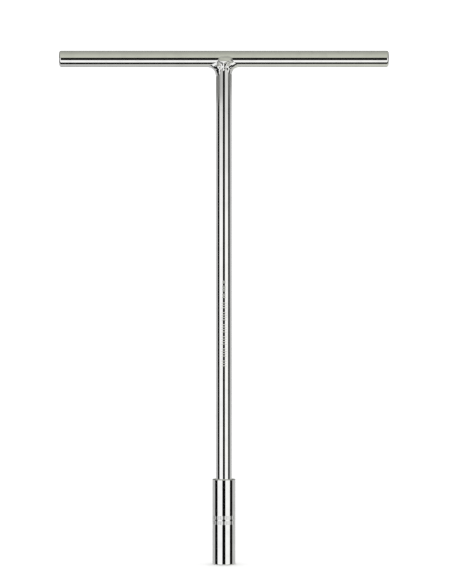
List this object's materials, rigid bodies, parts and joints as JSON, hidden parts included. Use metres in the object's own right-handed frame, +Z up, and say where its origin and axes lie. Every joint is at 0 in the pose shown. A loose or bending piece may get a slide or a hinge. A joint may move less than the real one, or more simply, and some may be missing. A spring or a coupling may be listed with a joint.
{
  "type": "t-handle socket wrench",
  "caption": "Long T-handle socket wrench: round cross bar welded across a round shank, with a tubular hexagon socket on the lower end, chrome plated all over.",
  "frame": {"origin": "centre of the socket's mouth, on its flat end face", "axes": "+Z up along the shank from the socket to the cross bar, X along the cross bar, Y through the wrench from front to back"},
  "size_m": [0.205, 0.0144, 0.3195],
  "materials": {
    "bar_chrome": "bright chrome plate on a polished round bar",
    "weld_chrome": "bright chrome plate on a hand-ground weld, slightly uneven",
    "shank_chrome": "bright chrome plate on a polished round rod",
    "socket_chrome": "bright chrome plate on a turned tube with fine turning marks and two rolled rings"
  },
  "bodies": {
    "root": {"handle_bar": "bar_chrome", "weld_fillet": "weld_chrome", "shank": "shank_chrome", "socket": "socket_chrome"}
  },
  "joints": []
}
